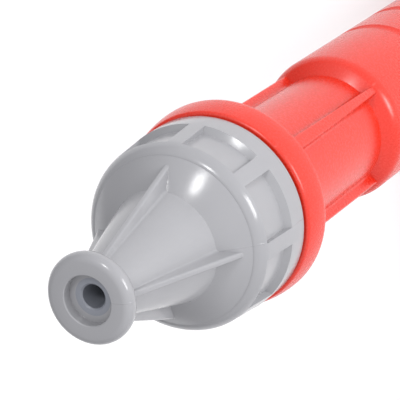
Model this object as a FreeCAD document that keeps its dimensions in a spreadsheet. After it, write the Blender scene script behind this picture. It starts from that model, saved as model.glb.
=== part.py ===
import FreeCAD, Part
import math
import os
import re

import Sketcher

# Hose-reel nozzle with a shut-off head: a red barrel with a grip, and a grey head that climbs a
# three-pin cam as it is turned, away from a fixed needle. Millimetres and degrees. The axis is Z,
# the hose end is at Z = 0, and the jet leaves at the top.

# --- Driving dimensions -----------------------------------------------------------------------

BARREL_SIZES = [
    ("grip_length", 114), ("neck_length", 66.5), ("flange_thickness", 10.7),
    ("grip_wall", 3.6), ("grip_shoulder", 4.8), ("grip_edge_round", 2.4), ("grip_step_rise", 3),
    ("band_pitch", 23.5), ("band_first", 36.9), ("band_depth", 0.8), ("band_cutter_radius", 4),
    ("hose_collar_step", 1.9), ("hose_collar_length", 14), ("hose_collar_slope", 4),
    ("core_wall", 2.3), ("core_flare", 0.9), ("flange_step", 1.7), ("flange_crest", 3),
    ("flange_taper", 1.1), ("flange_front_round", 0.8), ("flange_rear_round", 2.4),
    ("rib_height", 3.3), ("rib_rear_width", 2.2), ("rib_front_width", 4.4), ("rib_draft", 0.8),
    ("rib_root", 1.5), ("rib_count", 4), ("rib_turn", 45), ("band_count", 3),
]

INLET_SIZES = [
    ("bore_radius", 12.5), ("thread_radius", 15.15), ("insert_wall", 4.35), ("insert_length", 24),
    ("insert_lead", 1.5), ("thread_depth", 18), ("thread_relief", 0.6), ("anchor_depth", 1.2),
    ("anchor_start", 9), ("anchor_width", 5), ("gasket_thickness", 2), ("gasket_lip", 1),
    ("strainer_plate", 0.8),
    ("strainer_radius", 9.8), ("strainer_wall", 0.8), ("strainer_height", 26),
    ("strainer_slots", 12), ("strainer_slot_angle", 16), ("strainer_slot_margin", 3.5),
]

VALVE_SIZES = [
    ("tail_wall", 3.5), ("tail_length", 27.2), ("guide_wall", 7), ("cam_end_wall", 1.6),
    ("spigot_plate", 4), ("plate_step", 6.7), ("running_gap", 0.08), ("lead_chamfer", 0.4),
    ("ring_section", 0.95), ("ring_groove_width", 2.4), ("tail_ring_height", 6),
    ("head_ring_setback", 2), ("spider_seat_depth", 8.2), ("spider_wall", 3),
    ("spider_thickness", 4), ("spider_arms", 3), ("spider_window_angle", 98), ("hub_radius", 5),
    ("hub_overhang", 2), ("hub_nose", 3),
    ("clip_thickness", 1), ("clip_bite", 0.8), ("clip_width", 2.4), ("clip_opening", 30),
    ("screw_count", 4), ("screw_offset", 3.4), ("screw_shank", 1.6), ("screw_head", 2.6),
    ("screw_length", 9.2), ("screw_head_height", 2), ("screw_socket", 1.15),
    ("straightener_length", 10), ("straightener_hub", 2.2), ("straightener_channels", 6),
    ("straightener_window", 50), ("overcut", 1),
]

STEM_SIZES = [
    ("stem_radius", 3), ("stem_collar", 4.2), ("stem_collar_length", 13), ("stem_neck", 3.2),
    ("nut_radius", 5.77), ("nut_thickness", 5), ("stem_tail", 1),
    ("swirl_length", 7), ("swirl_hub", 5), ("swirl_radius", 8), ("swirl_blade", 1.2),
    ("swirl_tilt", 30), ("swirl_blades", 6), ("backing_radius", 4.6), ("backing_thickness", 2),
    ("washer_thickness", 4.9), ("washer_bevel", 1.4), ("washer_land", 1), ("seat_gap", 0.3),
    ("cap_head_radius", 2.5), ("cap_head_height", 1.8), ("cap_shank", 1.5), ("cap_grip", 4),
]

HEAD_SIZES = [
    ("head_gap", 1), ("guide_cover", 2), ("sleeve_wall", 5.7), ("collar_wall", 3.1),
    ("rim_step", 0.9), ("lip_reach", 0.8), ("lip_thickness", 2.6), ("pocket_rim", 3.2),
    ("rim_fall", 4.6), ("rim_land", 0.2), ("ring_edge_round", 0.7), ("pocket_depth", 1.9),
    ("pocket_start", 7.8), ("pocket_slope", 1.3), ("pocket_angle", 35.3), ("pocket_count", 8),
    ("pocket_turn", 22.5),
    ("shoulder_rise", 5.5), ("shoulder_crown", 60), ("shoulder_width", 8), ("cone_length", 40.3),
    ("neck_radius", 7), ("tip_radius", 12.65), ("tip_thickness", 5), ("tip_round", 2.3),
    ("counterbore_step", 1.73), ("counterbore_depth", 3.1), ("flute_foot", 7.8),
    ("flute_margin", 1.45), ("flute_width", 1.3), ("flute_draft", 1), ("flute_root", 6),
    ("inner_shoulder_drop", 3), ("cone_wall", 2.8), ("shoulder_wall", 4),
]

DRIVE_SIZES = [
    ("travel", 8), ("turn_angle", 120), ("pin_count", 3), ("pin_radius", 1.5), ("pin_height", 7.5),
    ("pin_reach", 1.4), ("pin_end_gap", 0.2), ("cam_side_gap", 0.2), ("circlip_start", 0.8),
    ("sleeve_length", 8.5), ("index_bore_depth", 3), ("index_width", 2.5), ("index_side_gap", 0.2),
    ("index_thickness", 1.2), ("index_start", 3.1), ("ridge_height", 0.35), ("ridge_angle", 4),
    ("tab_depth", 0.8), ("tab_angle", 6), ("slot_extra_angle", 1.4), ("slot_extra_depth", 0.3),
    ("slot_run_out", 1.5), ("index_notches", 6), ("index_root", 0.5), ("disc_thickness", 0.6),
    ("disc_rise", 1.2),
]

ORIFICE_SIZES = [
    ("orifice_radius", 3.34), ("insert_flange_wall", 3.06), ("insert_flange_length", 3.5),
    ("insert_shank_wall", 1.86), ("insert_total", 12.9), ("mouth_flare", 2.26),
    ("mouth_depth", 3), ("exit_chamfer", 0.45), ("small_ring_section", 0.6),
    ("small_ring_setback", 1.7), ("small_groove_width", 1.5),
]

# --- Radii and levels along the axis, each a formula of the driving dimensions ----------------

LEVELS = [
    ("tail_radius", "bore_radius + tail_wall"),
    ("core_radius", "tail_radius + core_wall"),
    ("spider_radius", "bore_radius + spider_wall"),
    ("guide_radius", "bore_radius + guide_wall"),
    ("guide_bore", "guide_radius + running_gap"),
    ("screw_circle", "guide_radius + screw_offset"),
    ("spigot_plate_radius", "guide_radius + plate_step"),
    ("index_radius", "guide_radius + index_width"),
    ("collar_bore", "guide_radius + sleeve_wall"),
    ("ring_radius", "collar_bore + collar_wall"),
    ("flange_radius", "ring_radius + flange_step"),
    ("rim_radius", "ring_radius - rim_step"),
    ("pocket_floor", "ring_radius - pocket_depth"),
    ("lip_radius", "collar_bore - lip_reach"),
    ("corner_radius", "lip_radius - shoulder_width"),
    ("flute_end", "lip_radius - flute_margin"),
    ("insert_radius", "thread_radius + insert_wall"),
    ("seat_radius", "thread_radius + thread_relief"),
    ("gasket_rear", "thread_depth - strainer_plate - gasket_thickness"),
    ("grip_radius", "max(insert_radius + grip_wall; core_radius + grip_shoulder)"),
    ("hose_collar_radius", "grip_radius + hose_collar_step"),
    ("mouth_radius", "orifice_radius + mouth_flare"),
    ("insert_shank_radius", "orifice_radius + insert_shank_wall"),
    ("insert_flange_radius", "orifice_radius + insert_flange_wall"),
    ("counterbore_radius", "insert_shank_radius + counterbore_step"),
    ("plate_rear", "grip_length + neck_length"),
    ("plate_front", "plate_rear + flange_thickness"),
    ("head_rear", "plate_front + head_gap"),
    ("pin_level", "head_rear + pin_height"),
    ("pin_end", "sqrt(collar_bore ^ 2 - pin_radius ^ 2)"),
    ("cam_end", "pin_level + travel + pin_radius + cam_side_gap"),
    ("guide_front", "cam_end + cam_end_wall + ring_groove_width / 2 + head_ring_setback"),
    ("collar_length", "guide_front - head_rear + guide_cover"),
    ("spigot_seat", "plate_front - spigot_plate"),
    ("tail_end", "spigot_seat - tail_length"),
    ("straightener_seat", "tail_end - straightener_length"),
    ("spider_seat", "guide_front - spider_seat_depth"),
    ("hub_rear", "spider_seat - hub_overhang"),
    ("hub_front", "spider_seat + spider_thickness + hub_nose"),
    ("swirl_seat", "hub_front + stem_collar_length"),
    ("sleeve_rear", "circlip_start + clip_thickness"),
    ("skirt_rear", "sleeve_rear + sleeve_length"),
    ("lip_seat", "collar_length - lip_thickness"),
    ("tip_local", "collar_length + shoulder_rise + cone_length"),
    ("floor_local", "tip_local - counterbore_depth"),
    ("insert_rear_local", "floor_local - insert_total"),
    ("insert_step_local", "insert_rear_local + insert_flange_length"),
    ("insert_rear", "head_rear + insert_rear_local"),
    ("washer_front", "insert_rear + washer_bevel"),
    ("washer_rear", "washer_front - washer_thickness"),
    ("stem_front", "washer_rear"),
    ("mouth_slope", "(mouth_radius - orifice_radius) / mouth_depth"),
    ("cam_lead", "travel * 360 / turn_angle"),
    ("pocket_end", "collar_length - pocket_rim"),
    ("rim_width", "rim_radius - lip_radius - rim_land"),
    ("rim_arc", "(rim_width ^ 2 + rim_fall ^ 2) / (2 * rim_width)"),
    ("flange_fall", "flange_thickness - flange_crest"),
    ("flange_arc", "(flange_taper ^ 2 + flange_fall ^ 2) / (2 * flange_taper)"),
]

ORIGIN = FreeCAD.Vector(0, 0, 0)
AXIS = FreeCAD.Vector(0, 0, 1)
HEXAGON = 6
SAME_PLACE = 0.01

doc = FreeCAD.newDocument("fire_hose_nozzle")


def fill_sheet(name, rows, as_text):
    """A sheet of named cells: the name in column A and its number or formula in column B."""
    sheet = doc.addObject("Spreadsheet::Sheet", name)
    for row, (alias, content) in enumerate(rows, start=1):
        sheet.set(f"A{row}", alias)
        sheet.set(f"B{row}", as_text(content))
        sheet.setAlias(f"B{row}", alias)
    doc.recompute()
    return sheet


SIZES = [
    *BARREL_SIZES, *INLET_SIZES, *VALVE_SIZES, *STEM_SIZES, *HEAD_SIZES, *DRIVE_SIZES, *ORIFICE_SIZES,
]
SIZE_NAMES = {alias for alias, number in SIZES}
LEVEL_NAMES = {alias for alias, formula in LEVELS}


def bound(text):
    """An expression of plain names, with each name's sheet put in front of it."""
    def with_sheet(match):
        word = match.group(0)
        if word in SIZE_NAMES:
            return "sizes." + word
        return "levels." + word if word in LEVEL_NAMES else word
    return re.sub(r"[a-z][a-z_]*", with_sheet, text)


sizes = fill_sheet("sizes", SIZES, str)
levels = fill_sheet("levels", LEVELS, lambda formula: "=" + bound(formula).replace("levels.", ""))


def value(text):
    """The number that an expression of plain names comes to."""
    return float(levels.evalExpression(bound(text)))


# --- Sketches and features --------------------------------------------------------------------

def origin_feature(body, role):
    return next(feature for feature in body.Origin.OriginFeatures if feature.Role == role)


def new_body(label, level="0"):
    """A body whose own frame sits at the given level on the axis."""
    body = doc.addObject("PartDesign::Body", label)
    body.Label = label
    body.setExpression("Placement.Base.z", bound(level))
    return body


def arc_between(start, end, radius):
    """The shorter arc from start to end that bulges outwards on a counter-clockwise outline."""
    chord = end - start
    middle = (start + end) * 0.5
    inwards = FreeCAD.Vector(-chord.y, chord.x, 0).normalize()
    centre = middle + inwards * math.sqrt(radius ** 2 - (chord.Length / 2) ** 2)
    circle = Part.Circle(centre, AXIS, radius)
    return Part.ArcOfCircle(circle, circle.parameter(start), circle.parameter(end))


def outline(body, name, corners, role="XZ_Plane", height=None, arcs=None):
    """A closed sketch through the corners, each pinned to the origin by two bound distances.

    arcs gives the radius of the arc that leaves a corner, by the corner's number."""
    arcs = arcs or {}
    sketch = body.newObject("Sketcher::SketchObject", name)
    sketch.AttachmentSupport = [(origin_feature(body, role), "")]
    sketch.MapMode = "FlatFace"
    if height:
        sketch.setExpression("AttachmentOffset.Base.z", bound(height))
    places = [FreeCAD.Vector(value(across), value(along), 0) for across, along in corners]
    count = len(places)
    for number, place in enumerate(places):
        after = places[(number + 1) % count]
        if number in arcs:
            sketch.addGeometry(arc_between(place, after, value(arcs[number])))
        else:
            sketch.addGeometry(Part.LineSegment(place, after))
    for number in range(count):
        sketch.addConstraint(Sketcher.Constraint("Coincident", number, 2, (number + 1) % count, 1))
    for number, texts in enumerate(corners):
        for kind, text in zip(("DistanceX", "DistanceY"), texts):
            rule = Sketcher.Constraint(kind, -1, 1, number, 1, value(text))
            index = sketch.addConstraint(rule)
            sketch.setExpression(f"Constraints[{index}]", bound(text))
    for number, text in arcs.items():
        index = sketch.addConstraint(Sketcher.Constraint("Radius", number, value(text)))
        sketch.setExpression(f"Constraints[{index}]", bound(text))
    return sketch


def turned(body, name, corners, kind="Revolution", angle="360", arcs=None):
    """A profile turned about the axis, which adds material, or removes it as a Groove."""
    sketch = outline(body, name + "_profile", corners, arcs=arcs)
    feature = body.newObject("PartDesign::" + kind, name)
    feature.Profile = sketch
    feature.ReferenceAxis = (sketch, ["V_Axis"])
    feature.Midplane = True
    feature.setExpression("Angle", bound(angle))
    doc.recompute()
    return feature


def around(body, feature, count):
    """The feature repeated evenly about the axis."""
    pattern = body.newObject("PartDesign::PolarPattern", feature.Name + "_pattern")
    pattern.Originals = [feature]
    pattern.Axis = (origin_feature(body, "Z_Axis"), [""])
    pattern.Angle = 360
    pattern.setExpression("Occurrences", bound(count))
    body.Tip = pattern
    doc.recompute()
    return pattern


def rounded(body, name, radius, rims):
    """Fillets on the full circles of the body's last feature at each (radius, height)."""
    base = body.Tip
    wanted = [(value(across), value(along)) for across, along in rims]
    names = []
    for number, edge in enumerate(base.Shape.Edges, start=1):
        if not isinstance(edge.Curve, Part.Circle):
            continue
        height = edge.Curve.Center.z
        for across, along in wanted:
            if abs(edge.Curve.Radius - across) + abs(height - along) < SAME_PLACE:
                names.append(f"Edge{number}")
    fillet = body.newObject("PartDesign::Fillet", name)
    fillet.Base = (base, names)
    fillet.setExpression("Radius", bound(radius))
    doc.recompute()
    return fillet


def straight_rib(body, name, sections):
    """A ruled rib between two trapezoids, each given as (height, root, top, width, draft)."""
    sketches = []
    for number, (height, root, top, width, draft) in enumerate(sections):
        corners = [
            (root, f"0 - ({width}) / 2 - ({draft})"), (top, f"0 - ({width}) / 2"),
            (top, f"({width}) / 2"), (root, f"({width}) / 2 + ({draft})"),
        ]
        sketches.append(outline(body, f"{name}_section_{number}", corners, "XY_Plane", height))
    rib = body.newObject("PartDesign::AdditiveLoft", name)
    rib.Profile = sketches[0]
    rib.Sections = [sketches[1]]
    rib.Ruled = True
    doc.recompute()
    return rib


def ring(label, inner, outer, low, high, level="0"):
    """A plain ring of rectangular section."""
    body = new_body(label, level)
    turned(body, label + "_turned", [(inner, low), (outer, low), (outer, high), (inner, high)])
    return body


def o_ring(label, centre_radius, section, level):
    torus = doc.addObject("Part::Torus", label)
    torus.Label = label
    torus.setExpression("Radius1", bound(centre_radius))
    torus.setExpression("Radius2", bound(section))
    torus.setExpression("Placement.Base.z", bound(level))
    doc.recompute()
    return torus


def circlip(label, inner, outer, low, level, opening):
    """A C-shaped retaining ring with its gap on the -X side."""
    body = new_body(label, level)
    high = f"{low} + clip_thickness"
    corners = [(inner, low), (outer, low), (outer, high), (inner, high)]
    turned(body, label + "_turned", corners, angle=f"360 - {opening}")
    return body


def spun_copies(shape, count, first_angle=0.0):
    """Copies of a shape, evenly spaced about the axis."""
    copies = []
    for number in range(count):
        copy = shape.copy()
        copy.rotate(ORIGIN, AXIS, first_angle + number * 360 / count)
        copies.append(copy)
    return copies


def set_of(label, solid, count, first_angle="0"):
    """One node of identical pieces, evenly spaced about the axis."""
    copies = spun_copies(solid, int(value(count)), value(first_angle))
    feature = doc.addObject("Part::Feature", label)
    feature.Label = label
    feature.Shape = Part.makeCompound(copies)
    return feature


def radial_cylinder(radius, start, end, height):
    """A cylinder that points away from the axis along +X."""
    place = FreeCAD.Vector(start, 0, height)
    return Part.makeCylinder(radius, end - start, place, FreeCAD.Vector(1, 0, 0))


# --- Barrel and inlet -------------------------------------------------------------------------

def make_barrel():
    """The red moulding: hose collar, banded grip, ribbed neck and front flange."""
    body = new_body("barrel")
    body.setExpression("Placement.Rotation.Angle", bound("rib_turn"))
    turned(body, "barrel_outside", [
        ("0", "0"), ("hose_collar_radius", "0"), ("hose_collar_radius", "hose_collar_length"),
        ("grip_radius", "hose_collar_length + hose_collar_slope"), ("grip_radius", "grip_length"),
        ("core_radius", "grip_length + grip_step_rise"), ("core_radius + core_flare", "plate_rear"),
        ("flange_radius", "plate_rear"), ("flange_radius", "plate_rear + flange_crest"),
        ("flange_radius - flange_taper", "plate_front"), ("0", "plate_front"),
    ], arcs={8: "flange_arc"})
    for number in range(int(value("band_count"))):
        middle = f"grip_length - band_first - {number} * band_pitch"
        reach = "grip_radius + band_cutter_radius"
        half = "sqrt(band_cutter_radius ^ 2 - (band_cutter_radius - band_depth) ^ 2)"
        turned(body, f"band_{number}", [
            ("grip_radius", f"{middle} + {half}"), ("grip_radius", f"{middle} - {half}"),
            (reach, f"{middle} - {half}"), (reach, f"{middle} + {half}"),
        ], "Groove", arcs={0: "band_cutter_radius"})
    rounded(body, "grip_edge", "grip_edge_round", [("grip_radius", "grip_length")])
    rounded(body, "flange_front_edge", "flange_front_round",
            [("flange_radius - flange_taper", "plate_front")])
    rounded(body, "flange_rear_edge", "flange_rear_round", [("flange_radius", "plate_rear")])
    root = "core_radius - rib_root"
    top = "core_radius + rib_height"
    rib = straight_rib(body, "neck_rib", [
        ("grip_length - grip_edge_round", root, top, "rib_rear_width", "rib_draft"),
        ("plate_rear + flange_rear_round", root, top, "rib_front_width", "rib_draft"),
    ])
    around(body, rib, "rib_count")
    anchor = "insert_radius - anchor_depth"
    turned(body, "waterway", [
        ("0", "0"), ("insert_radius", "0"), ("insert_radius", "anchor_start"),
        (anchor, "anchor_start"), (anchor, "anchor_start + anchor_width"),
        ("insert_radius", "anchor_start + anchor_width"), ("insert_radius", "insert_length"),
        ("bore_radius", "insert_length"), ("bore_radius", "straightener_seat"),
        ("tail_radius", "straightener_seat"), ("tail_radius", "spigot_seat"),
        ("spigot_plate_radius", "spigot_seat"), ("spigot_plate_radius", "plate_front"),
        ("0", "plate_front"),
    ], "Groove")
    return body


def make_inlet_insert():
    """The brass hose thread with a relief for its gasket, keyed in by an annular groove."""
    body = new_body("inlet_insert")
    anchor = "insert_radius - anchor_depth"
    turned(body, "insert_turned", [
        ("thread_radius + insert_lead", "0"), ("insert_radius", "0"),
        ("insert_radius", "anchor_start"), (anchor, "anchor_start"),
        (anchor, "anchor_start + anchor_width"),
        ("insert_radius", "anchor_start + anchor_width"), ("insert_radius", "insert_length"),
        ("bore_radius", "insert_length"), ("bore_radius", "thread_depth"),
        ("seat_radius", "thread_depth"), ("seat_radius", "gasket_rear"),
        ("thread_radius", "gasket_rear"), ("thread_radius", "insert_lead"),
    ])
    return body


def make_inlet_strainer():
    """A slotted cup with a flange, held under the hose gasket."""
    body = new_body("inlet_strainer", "thread_depth - strainer_plate")
    inside = "strainer_radius - strainer_wall"
    turned(body, "strainer_cup", [
        (inside, "0"), ("seat_radius", "0"), ("seat_radius", "strainer_plate"),
        ("strainer_radius", "strainer_plate"), ("strainer_radius", "strainer_height"),
        ("0", "strainer_height"), ("0", "strainer_height - strainer_wall"),
        (inside, "strainer_height - strainer_wall"),
    ])
    low = "strainer_plate + strainer_slot_margin"
    high = "strainer_height - strainer_slot_margin"
    near = "strainer_radius - 2 * strainer_wall"
    far = "strainer_radius + strainer_wall"
    corners = [(near, low), (far, low), (far, high), (near, high)]
    slot = turned(body, "strainer_slot", corners, "Groove", "strainer_slot_angle")
    around(body, slot, "strainer_slots")
    return body


def make_gasket():
    """The flat rubber washer, snapped into the relief, that the hose fitting screws down on."""
    return ring("inlet_gasket", "strainer_radius - strainer_wall + gasket_lip", "seat_radius",
                "0", "gasket_thickness", "gasket_rear")


def windowed_disc(body, name, corners, window, angle, count):
    """A turned disc with evenly spaced windows right through it."""
    turned(body, name, corners)
    cut = turned(body, name + "_window", window, "Groove", angle)
    around(body, cut, count)


def make_flow_straightener():
    """Six straight channels that take the swirl out of the water."""
    body = new_body("flow_straightener", "straightener_seat")
    length = "straightener_length"
    disc = [("0", "0"), ("tail_radius", "0"), ("tail_radius", length), ("0", length)]
    hub = "straightener_hub"
    low = "0 - overcut"
    high = f"{length} + overcut"
    window = [(hub, low), ("bore_radius", low), ("bore_radius", high), (hub, high)]
    windowed_disc(body, "straightener", disc, window, "straightener_window", "straightener_channels")
    return body


# --- Spigot and needle ------------------------------------------------------------------------

def cam_cutters():
    """The cam slots as solids: a swept channel with a round end at each stop."""
    half = value("pin_radius + cam_side_gap")
    floor = value("guide_radius - pin_reach - pin_end_gap")
    outside = value("guide_radius + overcut")
    low = value("pin_level")
    path = Part.makeHelix(value("cam_lead"), value("travel"), floor)
    path.translate(FreeCAD.Vector(0, 0, low))
    places = [(floor, low - half), (outside, low - half), (outside, low + half), (floor, low + half)]
    points = [FreeCAD.Vector(across, 0, along) for across, along in places]
    profile = Part.makePolygon(points + points[:1])
    channel = Part.Wire(path.Edges).makePipeShell([profile], True, True)
    first = radial_cylinder(half, floor, outside, low)
    last = radial_cylinder(half, floor, outside, low + value("travel"))
    last.rotate(ORIGIN, AXIS, value("turn_angle"))
    return channel.fuse([first, last])


def make_spigot():
    """The fixed guide that the head climbs, with cam slots and keyways in its outside."""
    body = new_body("spigot_blank")
    spider = "spider_radius"
    clip_low = "spider_seat + spider_thickness"
    groove_floor = "guide_radius - 2 * ring_section"
    tail_floor = "tail_radius - 2 * ring_section"
    ring_low = "guide_front - head_ring_setback - ring_groove_width / 2"
    ring_high = "guide_front - head_ring_setback + ring_groove_width / 2"
    tail_low = "tail_end + tail_ring_height - ring_groove_width / 2"
    tail_high = "tail_end + tail_ring_height + ring_groove_width / 2"
    turned(body, "spigot_turned", [
        ("bore_radius", "tail_end"), ("tail_radius", "tail_end"), ("tail_radius", tail_low),
        (tail_floor, tail_low), (tail_floor, tail_high), ("tail_radius", tail_high),
        ("tail_radius", "spigot_seat"), ("spigot_plate_radius", "spigot_seat"),
        ("spigot_plate_radius", "plate_front"), ("guide_radius", "plate_front"),
        ("guide_radius", ring_low), (groove_floor, ring_low), (groove_floor, ring_high),
        ("guide_radius", ring_high), ("guide_radius", "guide_front - lead_chamfer"),
        ("guide_radius - lead_chamfer", "guide_front"), (spider, "guide_front"),
        (spider, f"{clip_low} + clip_thickness"),
        (f"{spider} + clip_bite", f"{clip_low} + clip_thickness"),
        (f"{spider} + clip_bite", clip_low), (spider, clip_low), (spider, "spider_seat"),
        ("bore_radius", "spider_seat"),
    ])
    near = "guide_radius - tab_depth - slot_extra_depth"
    far = "guide_radius + overcut"
    high = "head_rear + index_start + index_thickness + travel + slot_run_out"
    corners = [(near, "plate_front"), (far, "plate_front"), (far, high), (near, high)]
    keyway = turned(body, "keyway", corners, "Groove", "tab_angle + slot_extra_angle")
    around(body, keyway, "pin_count")

    cutters = set_of("cam_slot_cutters", cam_cutters(), "pin_count", "180 / pin_count")
    holes = set_of("screw_hole_cutters", screw_solid(False), "screw_count")
    tools = doc.addObject("Part::Compound", "spigot_cutters")
    tools.Links = [cutters, holes]
    spigot = doc.addObject("Part::Cut", "valve_spigot")
    spigot.Label = "valve_spigot"
    spigot.Base = body
    spigot.Tool = tools
    doc.recompute()
    return spigot


def screw_solid(with_socket):
    """One countersunk screw on +X, its head flush with the spigot's plate."""
    top = value("plate_front")
    centre = FreeCAD.Vector(value("screw_circle"), 0, top)
    down = FreeCAD.Vector(0, 0, -1)
    radius = value("screw_shank")
    head_height = value("screw_head_height")
    head = Part.makeCone(value("screw_head"), radius, head_height, centre, down)
    shank = Part.makeCylinder(radius, value("screw_length"), centre, down)
    screw = head.fuse(shank).removeSplitter()
    if not with_socket:
        return screw
    points = []
    for number in range(HEXAGON + 1):
        angle = 2 * math.pi * number / HEXAGON
        across = FreeCAD.Vector(math.cos(angle), math.sin(angle), 0)
        points.append(centre + across * value("screw_socket"))
    socket = Part.Face(Part.makePolygon(points)).extrude(down * head_height)
    return screw.cut(socket)


def drill_barrel(blank):
    """The barrel with the screws' pilot holes in its flange."""
    holes = set_of("pilot_hole_cutters", screw_solid(False), "screw_count")
    barrel = doc.addObject("Part::Cut", "barrel_drilled")
    barrel.Base = blank
    barrel.Tool = holes
    barrel.Label = "barrel"
    doc.recompute()
    return barrel


def make_stem_spider():
    """The three-armed hub that holds the needle on the axis."""
    body = new_body("stem_spider", "spider_seat")
    thick = "spider_thickness"
    top = "spider_thickness + hub_nose"
    disc = [
        ("stem_radius", "0 - hub_overhang"), ("hub_radius", "0 - hub_overhang"), ("hub_radius", "0"),
        ("spider_radius", "0"), ("spider_radius", thick), ("hub_radius", thick),
        ("hub_radius", top), ("stem_radius", top),
    ]
    low = "0 - overcut"
    high = f"{thick} + overcut"
    window = [("hub_radius", low), ("bore_radius", low), ("bore_radius", high), ("hub_radius", high)]
    windowed_disc(body, "spider", disc, window, "spider_window_angle", "spider_arms")
    return body


def make_needle_stem():
    """The rod from the hub to the seat, with a backing plate for the seat washer."""
    body = new_body("needle_stem")
    tail = "hub_rear - nut_thickness - stem_tail"
    plate = "stem_front - backing_thickness"
    turned(body, "stem_turned", [
        ("0", tail), ("stem_radius", tail), ("stem_radius", "hub_front"),
        ("stem_collar", "hub_front"), ("stem_collar", "swirl_seat"), ("stem_neck", "swirl_seat"),
        ("stem_neck", plate), ("backing_radius", plate), ("backing_radius", "stem_front"),
        ("cap_shank", "stem_front"), ("cap_shank", "stem_front - cap_grip"),
        ("0", "stem_front - cap_grip"),
    ])
    return body


def make_stem_nut():
    prism = doc.addObject("Part::Prism", "nut_blank")
    prism.Polygon = HEXAGON
    prism.setExpression("Circumradius", bound("nut_radius"))
    prism.setExpression("Height", bound("nut_thickness"))
    hole = doc.addObject("Part::Cylinder", "nut_hole")
    hole.setExpression("Radius", bound("stem_radius"))
    hole.setExpression("Height", bound("nut_thickness"))
    nut = doc.addObject("Part::Cut", "stem_nut")
    nut.Label = "stem_nut"
    nut.Base = prism
    nut.Tool = hole
    nut.setExpression("Placement.Base.z", bound("hub_rear - nut_thickness"))
    doc.recompute()
    return nut


def make_swirl_vane():
    """Tilted blades on a hub, which spin the water into a spray while the head is part open."""
    length = value("swirl_length")
    outside = value("swirl_radius")
    thickness = value("swirl_blade")
    hub = Part.makeCylinder(value("swirl_hub"), length)
    corner = FreeCAD.Vector(0, -thickness / 2, -length)
    blade = Part.makeBox(outside, thickness, 2 * length, corner)
    blade.rotate(ORIGIN, FreeCAD.Vector(1, 0, 0), value("swirl_tilt"))
    blade.translate(FreeCAD.Vector(0, 0, length / 2))
    blade = blade.common(Part.makeCylinder(outside, length))
    blades = spun_copies(blade, int(value("swirl_blades")))
    shape = hub.fuse(blades).cut(Part.makeCylinder(value("stem_neck"), length))
    vane = doc.addObject("Part::Feature", "swirl_vane")
    vane.Label = "swirl_vane"
    vane.Shape = shape.removeSplitter()
    vane.Placement.Base = FreeCAD.Vector(0, 0, value("swirl_seat"))
    return vane


def make_seat_washer():
    """The rubber plug that closes the orifice's mouth, bevelled to the seat."""
    body = new_body("seat_washer")
    wide = "mouth_radius - seat_gap"
    turned(body, "washer_turned", [
        ("cap_shank", "washer_rear"), ("backing_radius", "washer_rear"),
        (wide, "washer_front - washer_bevel - washer_land"), (wide, "washer_front - washer_bevel"),
        (f"{wide} - mouth_slope * washer_bevel", "washer_front"), ("cap_shank", "washer_front"),
    ])
    return body


def make_washer_screw():
    """The round-headed screw that clamps the seat washer to the stem."""
    body = new_body("washer_screw")
    crown = "washer_front + cap_head_height"
    turned(body, "cap_turned", [
        ("0", "stem_front - cap_grip"), ("cap_shank", "stem_front - cap_grip"),
        ("cap_shank", "washer_front"), ("cap_head_radius", "washer_front"),
        ("cap_head_radius", "washer_front + cap_head_height / 2"),
        ("cap_head_radius / 2", crown), ("0", crown),
    ])
    return body


# --- Head -------------------------------------------------------------------------------------

def make_nose_cone():
    """The grey nose: flanged tip, four straight ribs, cone, sloping shoulder and guide skirt."""
    body = new_body("nose_cone", "head_rear")
    top = "tip_local"
    shoulder = "collar_length"
    turned(body, "nose_outside", [
        ("0", "skirt_rear"), ("collar_bore", "skirt_rear"), ("collar_bore", "lip_seat"),
        ("lip_radius", "lip_seat"), ("lip_radius", shoulder),
        ("corner_radius", f"{shoulder} + shoulder_rise"), ("neck_radius", f"{top} - tip_thickness"),
        ("tip_radius", f"{top} - tip_thickness"), ("tip_radius", top), ("0", top),
    ], arcs={4: "shoulder_crown"})
    tip_rims = [("tip_radius", top), ("tip_radius", f"{top} - tip_thickness")]
    rounded(body, "tip_edges", "tip_round", tip_rims)
    rib = straight_rib(body, "flute", [
        (shoulder, "flute_end - flute_root", "flute_end", "flute_width", "flute_draft"),
        (f"{top} - tip_thickness", "flute_foot - flute_root", "flute_foot", "flute_width",
         "flute_draft"),
    ])
    around(body, rib, "rib_count")
    seat = "insert_step_local"
    wide = "insert_flange_radius"
    groove_low = "floor_local - small_ring_setback - small_groove_width / 2"
    groove_high = "floor_local - small_ring_setback + small_groove_width / 2"
    groove = "insert_shank_radius + 2 * small_ring_section"
    inner_corner = "corner_radius - cone_wall"
    guide_end = f"{shoulder} + shoulder_rise / 2 - shoulder_wall"
    cone_start = f"{shoulder} + shoulder_rise - inner_shoulder_drop"
    turned(body, "nose_cavity", [
        ("0", "skirt_rear"), ("guide_bore", "skirt_rear"), ("guide_bore", guide_end),
        (inner_corner, cone_start), (wide, "insert_rear_local"), (wide, seat),
        ("insert_shank_radius", seat), ("insert_shank_radius", groove_low), (groove, groove_low),
        (groove, groove_high), ("insert_shank_radius", groove_high),
        ("insert_shank_radius", "floor_local"), ("counterbore_radius", "floor_local"),
        ("counterbore_radius", top), ("0", top),
    ], "Groove")
    return body


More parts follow.
